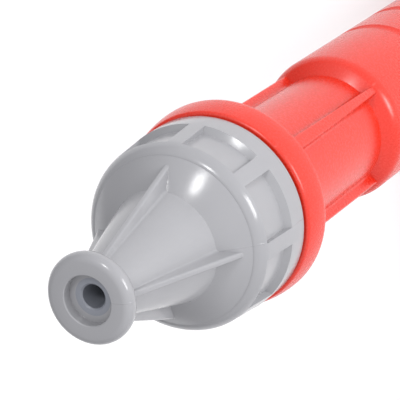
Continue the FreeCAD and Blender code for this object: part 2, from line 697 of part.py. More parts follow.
def make_grip_collar():
    """The castellated ring that is turned by hand, with an inner lip over the nose."""
    body = new_body("grip_collar", "head_rear")
    front = "collar_length"
    clip = "collar_bore + clip_bite"
    turned(body, "collar_turned", [
        ("collar_bore", "0"), ("ring_radius", "0"), ("ring_radius", "pocket_start"),
        ("rim_radius", f"{front} - rim_fall"), ("lip_radius + rim_land", front), ("lip_radius", front),
        ("lip_radius", "lip_seat"), ("collar_bore", "lip_seat"), ("collar_bore", "sleeve_rear"),
        (clip, "sleeve_rear"), (clip, "circlip_start"), ("collar_bore", "circlip_start"),
    ], arcs={3: "rim_arc"})
    rounded(body, "ring_edge", "ring_edge_round", [("ring_radius", "0")])
    outside = "ring_radius + overcut"
    pocket = turned(body, "pocket", [
        ("pocket_floor", "pocket_start + pocket_slope"), ("ring_radius", "pocket_start"),
        (outside, "pocket_start"), (outside, "pocket_end"), ("pocket_floor", "pocket_end"),
    ], "Groove", "pocket_angle")
    around(body, pocket, "pocket_count")
    body.setExpression("Placement.Rotation.Angle", bound("pocket_turn"))
    return body


def make_cam_sleeve():
    """The ring inside the collar that carries the cam pins and houses the index ring."""
    body = new_body("cam_sleeve", "head_rear")
    floor = "sleeve_rear + index_bore_depth"
    housing = "index_radius + index_side_gap"
    turned(body, "sleeve_turned", [
        (housing, "sleeve_rear"), ("collar_bore", "sleeve_rear"), ("collar_bore", "skirt_rear"),
        ("guide_bore", "skirt_rear"), ("guide_bore", floor), (housing, floor),
    ])
    inside = "guide_bore - overcut"
    low = f"{floor} - overcut"
    high = f"{floor} + ridge_height"
    corners = [(inside, low), (housing, low), (housing, high), (inside, high)]
    notch = turned(body, "notch", corners, "Groove", "ridge_angle + slot_extra_angle")
    around(body, notch, "index_notches")
    drill = pin_solid("collar_bore + overcut")
    holes = set_of("pin_hole_cutters", drill, "pin_count", "180 / pin_count")
    sleeve = doc.addObject("Part::Cut", "cam_sleeve_drilled")
    sleeve.Base = body
    sleeve.Tool = holes
    body.Label = "cam_sleeve_blank"
    sleeve.Label = "cam_sleeve"
    doc.recompute()
    return sleeve


def pin_solid(end):
    """One cam pin on +X, from the cam slot outwards."""
    start = value("guide_radius - pin_reach")
    return radial_cylinder(value("pin_radius"), start, value(end), value("pin_level"))


def make_orifice_insert():
    """The turned jet insert: a conical mouth that is the valve's seat, and a straight throat."""
    body = new_body("orifice_insert", "head_rear")
    rear = "insert_rear_local"
    front = "floor_local"
    turned(body, "orifice_turned", [
        ("mouth_radius", rear), ("insert_flange_radius", rear),
        ("insert_flange_radius", "insert_step_local"), ("insert_shank_radius", "insert_step_local"),
        ("insert_shank_radius", front), ("orifice_radius + exit_chamfer", front),
        ("orifice_radius", f"{front} - exit_chamfer"), ("orifice_radius", f"{rear} + mouth_depth"),
    ])
    return body


# --- Index ring -------------------------------------------------------------------------------

def make_index_ring():
    """The keyed ring that climbs with the head without turning, with a ridge for each notch."""
    body = new_body("index_ring", "head_rear + index_start")
    inner = "guide_radius + index_side_gap"
    high = "index_thickness"
    flat = [(inner, "0"), ("index_radius", "0"), ("index_radius", high), (inner, high)]
    turned(body, "index_turned", flat)
    tip = "guide_radius - tab_depth"
    root = f"{inner} + index_root"
    tab = turned(body, "tab", [(tip, "0"), (root, "0"), (root, high), (tip, high)], angle="tab_angle")
    around(body, tab, "pin_count")
    ridge_top = "index_thickness + ridge_height"
    ridge = turned(body, "ridge", [
        (inner, "index_thickness / 2"), ("index_radius", "index_thickness / 2"),
        ("index_radius", ridge_top), (inner, ridge_top),
    ], angle="ridge_angle")
    around(body, ridge, "pin_count")
    return body


def make_disc_spring():
    """The conical spring washer under the index ring."""
    body = new_body("disc_spring", "head_rear + index_start - disc_rise")
    inner = "guide_radius + 3 * index_side_gap"
    outer = "index_radius"
    turned(body, "disc_turned", [
        (inner, "0"), (outer, "disc_rise - disc_thickness"), (outer, "disc_rise"),
        (inner, "disc_thickness"),
    ])
    return body


def make_all():
    """Every sub-part, in the order in which the nozzle is put together."""
    barrel_blank = make_barrel()
    barrel_blank.Label = "barrel_blank"
    return [
        drill_barrel(barrel_blank),
        make_inlet_insert(),
        make_inlet_strainer(),
        make_gasket(),
        make_flow_straightener(),
        make_spigot(),
        o_ring("spigot_o_ring", "tail_radius - ring_section", "ring_section",
               "tail_end + tail_ring_height"),
        o_ring("head_o_ring", "guide_radius - ring_section", "ring_section",
               "guide_front - head_ring_setback"),
        set_of("spigot_screws", screw_solid(True), "screw_count"),
        make_stem_spider(),
        circlip("spider_circlip", "spider_radius + clip_bite - clip_width", "spider_radius + clip_bite",
                "spider_seat + spider_thickness", "0", "clip_opening"),
        make_needle_stem(),
        make_stem_nut(),
        make_swirl_vane(),
        make_seat_washer(),
        make_washer_screw(),
        make_index_ring(),
        make_disc_spring(),
        make_nose_cone(),
        make_grip_collar(),
        make_cam_sleeve(),
        set_of("cam_pins", pin_solid("pin_end"), "pin_count", "180 / pin_count"),
        circlip("collar_circlip", "guide_radius + 2 * clip_thickness", "collar_bore + clip_bite",
                "circlip_start", "head_rear", "clip_opening"),
        make_orifice_insert(),
        o_ring("orifice_o_ring", "insert_shank_radius + small_ring_section", "small_ring_section",
               "head_rear + floor_local - small_ring_setback"),
    ]


def check(nodes):
    """Stop on a failed feature or an unusable shape."""
    for item in doc.Objects:
        if {"Invalid", "Error"} & set(item.State):
            raise RuntimeError(f"{item.Label} failed: {item.State}")
    for node in nodes:
        shape = node.Shape
        if shape.isNull() or not shape.isValid() or not shape.Solids:
            raise RuntimeError(f"{node.Label} has no valid solid")


nodes = make_all()
doc.recompute()
check(nodes)
os.makedirs("parts", exist_ok=True)
for node in nodes:
    node.Shape.exportStep(f"parts/{node.Label}.step")
    box = node.Shape.BoundBox
    print(f"{node.Label:20s} solids {len(node.Shape.Solids)}  z {box.ZMin:8.3f} {box.ZMax:8.3f}"
          f"  r {box.XMax:7.3f}  volume {node.Shape.Volume:10.1f}")
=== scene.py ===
# %% [markdown]
# # A hose-reel nozzle in Blender
# The real object is a red moulded barrel with a grip, and a grey twist head on its front. Its exact
# solids come from CAD. This lesson loads them, makes the three big mouldings again with the soft
# edges that a mould leaves, and gives every piece a finish worked out from its real material.

# %% Load the solids
import math

import bmesh
import bpy
from mathutils import Matrix, Vector


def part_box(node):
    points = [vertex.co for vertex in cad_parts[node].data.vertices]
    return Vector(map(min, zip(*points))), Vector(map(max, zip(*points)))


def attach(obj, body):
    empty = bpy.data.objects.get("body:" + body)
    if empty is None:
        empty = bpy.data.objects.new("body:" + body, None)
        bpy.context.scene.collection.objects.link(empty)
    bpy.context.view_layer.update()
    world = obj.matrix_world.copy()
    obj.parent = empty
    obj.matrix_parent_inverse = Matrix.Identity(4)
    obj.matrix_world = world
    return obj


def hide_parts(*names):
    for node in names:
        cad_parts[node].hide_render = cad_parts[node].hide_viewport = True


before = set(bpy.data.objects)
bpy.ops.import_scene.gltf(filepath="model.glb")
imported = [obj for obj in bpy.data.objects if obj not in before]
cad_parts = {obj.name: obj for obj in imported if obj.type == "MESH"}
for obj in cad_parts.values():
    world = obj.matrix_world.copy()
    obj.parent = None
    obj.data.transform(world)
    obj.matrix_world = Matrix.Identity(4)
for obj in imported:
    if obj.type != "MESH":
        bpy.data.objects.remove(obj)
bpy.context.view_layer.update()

print("pieces from CAD:", len(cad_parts))

# %% [markdown]
# ## Sizes
# Blender works in metres and a maker works in millimetres, so every size below is in millimetres
# and `MM` turns it into metres once, where a shape is made. The ends of each piece are read from
# the CAD solids. The wall thicknesses and roundings are the maker's own numbers.

# %% Read the levels from the solids
MM = 0.001


def ends(node):
    """The lowest and highest level of a CAD piece, in millimetres."""
    low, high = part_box(node)
    return round(low.z / MM, 2), round(high.z / MM, 2)


flange_front = ends("barrel")[1]
head_rear, head_front = ends("grip_collar")
skirt_rear, tip_face = ends("nose_cone")
straightener_rear = ends("flow_straightener")[0]
insert_front = ends("inlet_insert")[1]
orifice_rear, orifice_face = ends("orifice_insert")
print("head from", head_rear, "to", tip_face)

# %% [markdown]
# ## Turned shapes
# The mouldings are mostly round, as if turned on a lathe. A lathe shape is a flat profile carried
# once round the axis, which is what the spin operator does. Rounding the profile's corners first
# gives every edge its mould radius, and is much cleaner than bevelling the finished solid.

# %% A profile and a spin
TURN_STEPS = 192
ROUND_SEGMENTS = 4
MERGE = 0.001 * MM


def arc(centre, radius, start, end, steps):
    """Points along an arc from start to end degrees, both ends included."""
    points = []
    for step in range(steps + 1):
        angle = math.radians(start + (end - start) * step / steps)
        across = centre[0] + radius * math.cos(angle)
        points.append((across, centre[1] + radius * math.sin(angle)))
    return points


def flat_face(bm, corners, place):
    """A face through the corners, with each corner that has a third value rounded by it."""
    verts = [bm.verts.new(place(corner[0], corner[1])) for corner in corners]
    bm.faces.new(verts)
    roundings = {}
    for vert, corner in zip(verts, corners):
        if len(corner) > 2:
            roundings.setdefault(corner[2], []).append(vert)
    for rounding, rounded in roundings.items():
        bmesh.ops.bevel(bm, geom=rounded, offset=rounding * MM, offset_type="OFFSET",
                        segments=ROUND_SEGMENTS, profile=0.5, affect="VERTICES",
                        clamp_overlap=True, material=-1)


def on_profile(across, along):
    """A profile's point, with its radius along X and its level along Z."""
    return Vector((across * MM, 0, along * MM))


def to_mesh(bm, name):
    """The bmesh as a mesh with merged doubles and outward faces."""
    bmesh.ops.remove_doubles(bm, verts=bm.verts, dist=MERGE)
    bmesh.ops.recalc_face_normals(bm, faces=bm.faces)
    mesh = bpy.data.meshes.new(name)
    bm.to_mesh(mesh)
    bm.free()
    return mesh


def turned(name, corners):
    """The closed profile spun once round the axis; an edge on the axis sweeps nothing."""
    bm = bmesh.new()
    flat_face(bm, corners, on_profile)
    on_axis = [edge for edge in bm.edges if max(vert.co.xy.length for vert in edge.verts) < MERGE]
    bmesh.ops.delete(bm, geom=bm.faces[:], context="FACES_ONLY")
    bmesh.ops.delete(bm, geom=on_axis, context="EDGES_FACES")
    bmesh.ops.spin(bm, geom=bm.verts[:] + bm.edges[:], cent=(0, 0, 0), axis=(0, 0, 1),
                   dvec=(0, 0, 0), angle=2 * math.pi, steps=TURN_STEPS, use_merge=True)
    return to_mesh(bm, name)


# %% [markdown]
# ## Ribbed shapes
# The cone and the neck each have four ribs that grow or shrink along the axis. Both ends of such a
# shape are the same outline at two sizes, so bridging the two outlines gives straight, tapered
# ribs with a rounded crest and a soft root all the way along.

# %% A section with four ribs
RIBS = 4
ARC_STEPS = 20


def ribbed_corners(core, crest, width, draft, root_round, crest_round):
    """The outline of a round core with four ribs, as points (x, y) with their roundings."""
    root_half = width / 2 + draft * (crest - core)
    gap = math.degrees(math.asin(root_half / core))
    root = core * math.cos(math.radians(gap))
    corners = []
    for rib in range(RIBS):
        turn = math.radians(rib * 360 / RIBS)
        rib_points = [
            (root, -root_half, root_round), (crest, -width / 2, crest_round),
            (crest, width / 2, crest_round), (root, root_half, root_round),
        ]
        for across, along, rounding in rib_points:
            x = across * math.cos(turn) - along * math.sin(turn)
            y = across * math.sin(turn) + along * math.cos(turn)
            corners.append((x, y, rounding))
        start = rib * 360 / RIBS + gap
        between = arc((0, 0), core, start, start + 360 / RIBS - 2 * gap, ARC_STEPS)
        corners.extend(between[1:-1])
    return corners


def ribbed(name, near, far, turn=0):
    """A solid between two ribbed sections, each a level and the sizes of its outline."""
    bm = bmesh.new()
    for level, sizes in (near, far):
        flat_face(bm, ribbed_corners(*sizes), lambda x, y: Vector((x, y, level)) * MM)
    bmesh.ops.bridge_loops(bm, edges=bm.edges[:])
    about_axis = Matrix.Rotation(math.radians(turn), 3, "Z")
    bmesh.ops.rotate(bm, verts=bm.verts, cent=(0, 0, 0), matrix=about_axis)
    return to_mesh(bm, name)


# %% [markdown]
# ## Adding and cutting
# A mould is cut as several simple shapes that run into each other. Blender's boolean does the same
# with solids. It works on a spare copy here, and only the result is kept.

# %% Booleans on meshes
def combined(first, second, operation):
    """The mesh that is left when the second solid is added to or cut from the first."""
    keep = bpy.data.objects.new("keep", first)
    tool = bpy.data.objects.new("tool", second)
    for holder in (keep, tool):
        bpy.context.scene.collection.objects.link(holder)
    modifier = keep.modifiers.new("boolean", "BOOLEAN")
    modifier.operation = operation
    modifier.object = tool
    modifier.solver = "EXACT"
    depsgraph = bpy.context.evaluated_depsgraph_get()
    result = bpy.data.meshes.new_from_object(keep.evaluated_get(depsgraph))
    for holder in (keep, tool):
        bpy.data.objects.remove(holder)
    return result


SHARP_ANGLE = math.radians(32)


def finish_piece(mesh, name, body, material, node):
    """The finished moulding: smooth except at real creases, riding on its body."""
    mesh.name = name
    mesh.materials.clear()
    mesh.materials.append(material)
    mesh.shade_smooth()
    mesh.set_sharp_from_angle(angle=SHARP_ANGLE)
    piece = bpy.data.objects.new(name, mesh)
    bpy.context.scene.collection.objects.link(piece)
    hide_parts(node)
    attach(piece, body)
    mesh.calc_loop_triangles()
    print(name, "has", len(mesh.loop_triangles), "triangles")


# %% [markdown]
# ## Finishes
# Every material starts from a real one. The colours are written as sRGB hex values, the way a
# paint chart gives them, and one function turns them into the linear values that the shader adds
# up. A pattern's scale comes from a real size: `spacing` turns it into Blender's scale.

# %% Colour, scale and nodes
def linear(hex_colour):
    """A linear RGBA colour from an sRGB hex value."""
    channels = []
    for start in (1, 3, 5):
        channel = int(hex_colour[start:start + 2], 16) / 255
        if channel <= 0.04045:
            channels.append(channel / 12.92)
        else:
            channels.append(((channel + 0.055) / 1.055) ** 2.4)
    return (*channels, 1.0)


def spacing(millimetres):
    """The noise scale whose grain is this far apart."""
    return 1 / (millimetres * MM)


def add_node(tree, kind, links=(), values=(), **settings):
    """A node with its settings, its fixed input values and the sockets that feed it."""
    node = tree.nodes.new(kind)
    for name, setting in settings.items():
        setattr(node, name, setting)
    for name, value in values:
        node.inputs[name].default_value = value
    for name, source in links:
        tree.links.new(source, node.inputs[name])
    return node


def new_material(name):
    """An empty node material, with its tree, shader and object coordinates."""
    material = bpy.data.materials.new(name)
    material.use_nodes = True
    tree = material.node_tree
    shader = tree.nodes["Principled BSDF"]
    coordinates = add_node(tree, "ShaderNodeTexCoord").outputs["Object"]
    return material, tree, shader, coordinates


# %% [markdown]
# ## Moulded plastic
# The barrel and the head are injection moulded. The mould's steel is lightly polished, so the
# plastic is satin: highlights are clear but soft-edged. Two things give moulding away up close: a
# very fine grain, and the parting line where the two halves of the mould met. The line is a
# straight ridge in a plane through the axis, so it is drawn from the angle about the axis.

# %% The moulded finish
def moulded_plastic(name, colour, deep, roughness, seams):
    """Satin moulded plastic, with a fine grain and parting lines at the seams' angles."""
    material, tree, shader, coordinates = new_material(name)
    shader.inputs["IOR"].default_value = 1.53
    clouds = add_node(tree, "ShaderNodeTexNoise", [("Vector", coordinates)],
                      [("Scale", spacing(CLOUD_SIZE)), ("Detail", 3.0), ("Roughness", 0.5)])
    tint = add_node(tree, "ShaderNodeMix", [("Factor", clouds.outputs["Fac"])], data_type="RGBA")
    tint.inputs[6].default_value = linear(deep)
    tint.inputs[7].default_value = linear(colour)
    tree.links.new(tint.outputs[2], shader.inputs["Base Color"])
    grain = add_node(tree, "ShaderNodeTexNoise", [("Vector", coordinates)],
                     [("Scale", spacing(GRAIN_SIZE)), ("Detail", 2.0), ("Roughness", 0.6)])
    satin = add_node(tree, "ShaderNodeMapRange", [("Value", grain.outputs["Fac"])],
                     [("From Min", 0.3), ("From Max", 0.7), ("To Min", roughness - SATIN_CHANGE),
                      ("To Max", roughness + SATIN_CHANGE)])
    tree.links.new(satin.outputs["Result"], shader.inputs["Roughness"])
    height = add_node(tree, "ShaderNodeMath", values=[(1, GRAIN_HEIGHT)], operation="MULTIPLY",
                      links=[(0, grain.outputs["Fac"])])
    for angle in seams:
        turned_in = add_node(tree, "ShaderNodeVectorRotate", [("Vector", coordinates)],
                             [("Angle", -math.radians(angle))], rotation_type="Z_AXIS")
        apart = add_node(tree, "ShaderNodeSeparateXYZ", [("Vector", turned_in.outputs["Vector"])])
        off = add_node(tree, "ShaderNodeMath", [(0, apart.outputs["Y"])], operation="ABSOLUTE")
        ridge = add_node(tree, "ShaderNodeMapRange", [("Value", off.outputs["Value"])],
                         [("From Min", 0.0), ("From Max", SEAM_HALF_WIDTH * MM),
                          ("To Min", SEAM_HEIGHT), ("To Max", 0.0)],
                         interpolation_type="SMOOTHSTEP")
        front = add_node(tree, "ShaderNodeMath", [(0, apart.outputs["X"])], [(1, 0.0)],
                         operation="GREATER_THAN")
        seam = add_node(tree, "ShaderNodeMath", operation="MULTIPLY",
                        links=[(0, ridge.outputs["Result"]), (1, front.outputs["Value"])])
        height = add_node(tree, "ShaderNodeMath", operation="ADD",
                          links=[(0, height.outputs["Value"]), (1, seam.outputs["Value"])])
    relief = add_node(tree, "ShaderNodeBump", [("Height", height.outputs["Value"])],
                      [("Distance", MM), ("Strength", 1.0)])
    tree.links.new(relief.outputs["Normal"], shader.inputs["Normal"])
    return material


# Clouds of colour are a flow mark's size. The grain is drawn coarser than a real mould's, which
# would be too fine to show. Heights are in millimetres.
CLOUD_SIZE = 18
GRAIN_SIZE = 0.9
GRAIN_HEIGHT = 0.0006
SATIN_CHANGE = 0.03
SEAM_HALF_WIDTH = 0.25
SEAM_HEIGHT = 0.05
BARREL_SEAM = 318.5
HEAD_SEAM = 275.5

# The red is strong and a little soft in its highlights, so that the barrel is seen at a distance.
red_moulding = moulded_plastic("red_moulded_polyamide", "#cd2812", "#c62410", 0.27, [BARREL_SEAM])
# The grey is smoother, which gives the head its clear, small highlights.
grey_moulding = moulded_plastic("grey_moulded_polyamide", "#919194", "#8b8b8e", 0.18, [HEAD_SEAM])
# The jet insert is a colder grey, which sets it off as a separate piece round the hole.
insert_grey = moulded_plastic("slate_moulded_polyamide", "#80838b", "#7b7e86", 0.24, [])

# %% [markdown]
# ## The inner pieces
# Brass, stainless steel, acetal and rubber make up the valve. Machined metal has fine rings round
# its axis from the cutting tool. Acetal is waxy and smooth, and rubber is dark and nearly dull.

# %% Metals, acetal and rubber
def machined_metal(name, colour, roughness, ring_pitch):
    """Turned metal, whose roughness varies in rings round the axis as the tool left them."""
    material, tree, shader, coordinates = new_material(name)
    shader.inputs["Base Color"].default_value = linear(colour)
    shader.inputs["Metallic"].default_value = 1.0
    rings = add_node(tree, "ShaderNodeTexWave", [("Vector", coordinates)],
                     [("Scale", spacing(ring_pitch) / 20), ("Distortion", 0.6)],
                     wave_type="BANDS", bands_direction="Z")
    marks = add_node(tree, "ShaderNodeMapRange", [("Value", rings.outputs["Fac"])],
                     [("To Min", roughness), ("To Max", roughness + 0.12)])
    tree.links.new(marks.outputs["Result"], shader.inputs["Roughness"])
    relief = add_node(tree, "ShaderNodeBump", [("Height", rings.outputs["Fac"])],
                      [("Distance", 0.01 * MM), ("Strength", 0.5)])
    tree.links.new(relief.outputs["Normal"], shader.inputs["Normal"])
    return material


def soft_polymer(name, colour, roughness, ior, grain_height):
    """Acetal or rubber: one colour, a soft surface and a slight grain."""
    material, tree, shader, coordinates = new_material(name)
    shader.inputs["Base Color"].default_value = linear(colour)
    shader.inputs["IOR"].default_value = ior
    grain = add_node(tree, "ShaderNodeTexNoise", [("Vector", coordinates)],
                     [("Scale", spacing(GRAIN_SIZE)), ("Detail", 2.0)])
    marks = add_node(tree, "ShaderNodeMapRange", [("Value", grain.outputs["Fac"])],
                     [("To Min", roughness - 0.05), ("To Max", roughness + 0.05)])
    tree.links.new(marks.outputs["Result"], shader.inputs["Roughness"])
    relief = add_node(tree, "ShaderNodeBump", [("Height", grain.outputs["Fac"])],
                      [("Distance", grain_height * MM), ("Strength", 1.0)])
    tree.links.new(relief.outputs["Normal"], shader.inputs["Normal"])
    return material


# The last number is the pitch of a metal's rings, or the height of a polymer's grain, in mm.
brass = machined_metal("machined_brass", "#c9a24f", 0.26, 0.8)
stainless = machined_metal("machined_stainless_steel", "#b9bbbd", 0.24, 0.8)
black_steel = machined_metal("black_oxide_steel", "#17181a", 0.5, 0.6)
acetal = soft_polymer("white_acetal", "#e6e4dc", 0.38, 1.48, 0.01)
rubber = soft_polymer("black_nitrile_rubber", "#1c1c1d", 0.6, 1.52, 0.03)

FINISHES = {
    "red_moulding": red_moulding,
    "grey_moulding": grey_moulding,
    "orifice_grey": insert_grey,
    "brass": brass,
    "stainless": stainless,
    "acetal": acetal,
    "rubber": rubber,
}
for name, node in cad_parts.items():
    for material_slot in node.material_slots:
        material_slot.material = FINISHES.get(material_slot.material.name.split(".")[0], acetal)
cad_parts["washer_screw"].material_slots[0].material = black_steel

# %% [markdown]
# ## The nose
# The nose is a lipped tip, a cone with four ribs and a sloping shoulder that runs under the grip
# ring's rim. The tip and the shoulder are turned, and the ribbed cone is bridged between two
# sections. The three run into each other and the cavity is cut out last, as the mould's core does.

# %% Make the nose
LIP_RADIUS = 24.4
COLLAR_BORE = 25.2
LIP_THICKNESS = 2.6
SHOULDER_RISE = 5.5
CORNER_RADIUS = 16.4
NECK_RADIUS = 7.0
TIP_RADIUS = 12.65
TIP_THICKNESS = 5.0
TIP_ROUND = 2.3
CREST_AT_SHOULDER = 22.95
CREST_AT_TIP = 7.8
RIB_WIDTH = 1.6
RIB_DRAFT = 1 / 6
CORE_INSET = 0.6
SHOULDER_CROWN = 0.2
SHOULDER_STEPS = 8

lip_seat = head_front - LIP_THICKNESS
corner_level = head_front + SHOULDER_RISE
tip_rear = tip_face - TIP_THICKNESS
cone_slope = (CORNER_RADIUS - NECK_RADIUS) / (tip_rear - corner_level)
core_at_shoulder = CORNER_RADIUS + cone_slope * SHOULDER_RISE


def shoulder_curve(steps):
    """The slightly crowned line from the rim of the nose up to the foot of the cone."""
    start = Vector((LIP_RADIUS, head_front))
    end = Vector((CORNER_RADIUS, corner_level))
    chord = end - start
    crown = Vector((-chord.y, chord.x)).normalized() * -SHOULDER_CROWN
    points = []
    for step in range(steps + 1):
        share = step / steps
        point = start + chord * share + crown * 4 * share * (1 - share)
        points.append((point.x, point.y))
    return points


slope_line = shoulder_curve(SHOULDER_STEPS)
inwards = Vector(slope_line[-1]) - Vector(slope_line[-2])
under_cone = Vector(slope_line[-1]) + inwards.normalized() * CORE_INSET * 2

nose_blank = turned("nose_blank", [
    (0, skirt_rear), (COLLAR_BORE, skirt_rear), (COLLAR_BORE, lip_seat),
    (LIP_RADIUS, lip_seat), *slope_line, (under_cone.x, under_cone.y),
    (NECK_RADIUS - CORE_INSET, tip_rear), (TIP_RADIUS, tip_rear, TIP_ROUND),
    (TIP_RADIUS, tip_face, TIP_ROUND), (0, tip_face),
])
cone = ribbed(
    "cone",
    (head_front, (core_at_shoulder, CREST_AT_SHOULDER, RIB_WIDTH, RIB_DRAFT, 0.8, 0.6)),
    (tip_rear + TIP_ROUND / 2, (NECK_RADIUS - cone_slope * TIP_ROUND / 2,
     CREST_AT_TIP - 0.35, RIB_WIDTH, RIB_DRAFT, 0.3, 0.4)),
)
nose_solid = combined(nose_blank, cone, "UNION")

GUIDE_BORE = 19.58
GUIDE_END = 22.75
CONE_CAVITY_START = 26.5
CAVITY_CORNER = 13.6
SHANK = 5.2
FLANGE_BORE = 6.4
FLANGE_SEAT = 3.5
COUNTERBORE = 6.93
RING_GROOVE = 6.4
OVERCUT = 1.0
GROOVE_HALF = 0.75
GROOVE_DEPTH = 1.7
HOLE_CHAMFER = 0.25

groove_middle = orifice_face - GROOVE_DEPTH
chamfered = COUNTERBORE + HOLE_CHAMFER
cavity = turned("nose_cavity", [
    (0, skirt_rear - OVERCUT), (GUIDE_BORE, skirt_rear - OVERCUT),
    (GUIDE_BORE, head_rear + GUIDE_END), (CAVITY_CORNER, head_rear + CONE_CAVITY_START),
    (FLANGE_BORE, orifice_rear), (FLANGE_BORE, orifice_rear + FLANGE_SEAT),
    (SHANK, orifice_rear + FLANGE_SEAT), (SHANK, groove_middle - GROOVE_HALF),
    (RING_GROOVE, groove_middle - GROOVE_HALF), (RING_GROOVE, groove_middle + GROOVE_HALF),
    (SHANK, groove_middle + GROOVE_HALF), (SHANK, orifice_face), (COUNTERBORE, orifice_face),
    (COUNTERBORE, tip_face - HOLE_CHAMFER), (chamfered, tip_face), (chamfered, tip_face + OVERCUT),
    (0, tip_face + OVERCUT),
])
nose_mesh = combined(nose_solid, cavity, "DIFFERENCE")
finish_piece(nose_mesh, "nose", "head", grey_moulding, "nose_cone")

# %% [markdown]
# ## The grip ring
# The ring that the hand turns has eight shallow pockets. Each pocket's floor runs up to the
# surface as a ramp at the rear, so that the mould can open, and its front wall is square. The
# pockets' inner corners are rounded by bevelling the cutter before it is used.

# %% Make the grip ring
RING_RADIUS = 28.3
RIM_RADIUS = 27.4
RIM_FALL = 4.6
RIM_LAND = 0.2
RING_EDGE = 0.7
POCKETS = 8
POCKET_ANGLE = 35.3
POCKET_START = 7.8
POCKET_SLOPE = 1.3
POCKET_RIM = 3.2
POCKET_FLOOR = 26.4
POCKET_STEPS = 18
POCKET_ROUND = 0.7
POCKET_ROUND_SEGMENTS = 4
POCKET_LEAN = 0.7
FLOOR_REACH = 0.1
FIRST_POCKET = 22.5
INNER_EDGE_ANGLE = math.radians(30)
RIM_STEPS = 10
CLIP_GROOVE = 26.0
CLIP_START = 0.8
CLIP_WIDTH = 1.0

rim_width = RIM_RADIUS - LIP_RADIUS - RIM_LAND
rim_arc = (rim_width ** 2 + RIM_FALL ** 2) / (2 * rim_width)
rim_centre = (RIM_RADIUS - rim_arc, head_front - RIM_FALL)
rim_end = math.degrees(math.asin(RIM_FALL / rim_arc))
ring_blank = turned("ring_blank", [
    (COLLAR_BORE, head_rear), (RING_RADIUS, head_rear, RING_EDGE),
    (RING_RADIUS, head_rear + POCKET_START), *arc(rim_centre, rim_arc, 0, rim_end, RIM_STEPS),
    (LIP_RADIUS, head_front), (LIP_RADIUS, lip_seat), (COLLAR_BORE, lip_seat),
    (COLLAR_BORE, head_rear + CLIP_START + CLIP_WIDTH),
    (CLIP_GROOVE, head_rear + CLIP_START + CLIP_WIDTH), (CLIP_GROOVE, head_rear + CLIP_START),
    (COLLAR_BORE, head_rear + CLIP_START),
])


def pocket_cutters():
    """Eight cutters round the ring, each a profile swung through the pocket's angle."""
    bm = bmesh.new()
    start = head_rear + POCKET_START
    front = head_front - POCKET_RIM
    outside = RING_RADIUS + OVERCUT
    flat_face(bm, [
        (POCKET_FLOOR, start + POCKET_SLOPE), (RING_RADIUS, start), (outside, start - POCKET_LEAN),
        (outside, front), (POCKET_FLOOR, front),
    ], on_profile)
    bmesh.ops.spin(bm, geom=bm.verts[:] + bm.edges[:] + bm.faces[:], cent=(0, 0, 0), axis=(0, 0, 1),
                   dvec=(0, 0, 0), angle=math.radians(POCKET_ANGLE), steps=POCKET_STEPS)
    bmesh.ops.recalc_face_normals(bm, faces=bm.faces)
    inner = [edge for edge in bm.edges if edge.calc_face_angle(0) > INNER_EDGE_ANGLE
             and min(vert.co.xy.length for vert in edge.verts) < (POCKET_FLOOR + FLOOR_REACH) * MM]
    bmesh.ops.bevel(bm, geom=inner, offset=POCKET_ROUND * MM, offset_type="OFFSET",
                    segments=POCKET_ROUND_SEGMENTS,
                    profile=0.5, affect="EDGES", clamp_overlap=True, material=-1)
    first = bm.verts[:] + bm.edges[:] + bm.faces[:]
    middle = Matrix.Rotation(math.radians(FIRST_POCKET - POCKET_ANGLE / 2), 3, "Z")
    bmesh.ops.rotate(bm, verts=bm.verts, cent=(0, 0, 0), matrix=middle)
    for number in range(1, POCKETS):
        copy = bmesh.ops.duplicate(bm, geom=first)["geom"]
        verts = [item for item in copy if isinstance(item, bmesh.types.BMVert)]
        turn = Matrix.Rotation(2 * math.pi * number / POCKETS, 3, "Z")
        bmesh.ops.rotate(bm, verts=verts, cent=(0, 0, 0), matrix=turn)
    return to_mesh(bm, "pocket_cutters")


ring_mesh = combined(ring_blank, pocket_cutters(), "DIFFERENCE")
finish_piece(ring_mesh, "grip_ring", "head", grey_moulding, "grip_collar")

# %% [markdown]
# ## The barrel
# The barrel is one red moulding: a collar that guards the hose thread, a hand grip with shallow
# bands, a ribbed neck and a round flange. The grip and the flange are turned on one blank, the
# neck with its four ribs is bridged between them, and the waterway is cut through last, with the
# four blind holes for the screws that hold the valve.

# %% Make the barrel
FLANGE_RADIUS = 30.0
FLANGE_CREST = 3.0
FLANGE_TAPER = 1.1
FLANGE_THICKNESS = 10.7
NECK_LENGTH = 66.5
GRIP_RADIUS = 23.1
GRIP_STEP = 3.0
BANDS = 3
BAND_FIRST = 36.9
BAND_PITCH = 23.5
BAND_DEPTH = 0.8
BAND_CUTTER = 4.0
HOSE_COLLAR = 25.0
HOSE_COLLAR_LENGTH = 14.0
HOSE_COLLAR_SLOPE = 4.0
CORE_RADIUS = 18.3
CORE_FLARE = 0.9
NECK_RIB_HEIGHT = 3.3
WATERWAY = 12.5
TAIL_RADIUS = 16.0
PLATE_RADIUS = 26.2
PLATE_THICKNESS = 4.0
INSERT_RADIUS = 19.5
ANCHOR_RADIUS = 18.3
ANCHOR_START = 9.0
ANCHOR_WIDTH = 5.0
NECK_RIB_TURN = 45
NECK_OVERLAP = 2.4
NECK_RIB_REAR = 2.2
NECK_RIB_FRONT = 4.4
NECK_ROOT_ROUND = 0.8
BAND_STEPS = 10
FLANGE_STEPS = 8

flange_rear = flange_front - FLANGE_THICKNESS
grip_front = flange_rear - NECK_LENGTH
flange_fall = FLANGE_THICKNESS - FLANGE_CREST
flange_arc = (FLANGE_TAPER ** 2 + flange_fall ** 2) / (2 * FLANGE_TAPER)
flange_centre = (FLANGE_RADIUS - flange_arc, flange_rear + FLANGE_CREST)
flange_end = math.degrees(math.asin(flange_fall / flange_arc))
band_half = math.degrees(math.acos((BAND_CUTTER - BAND_DEPTH) / BAND_CUTTER))

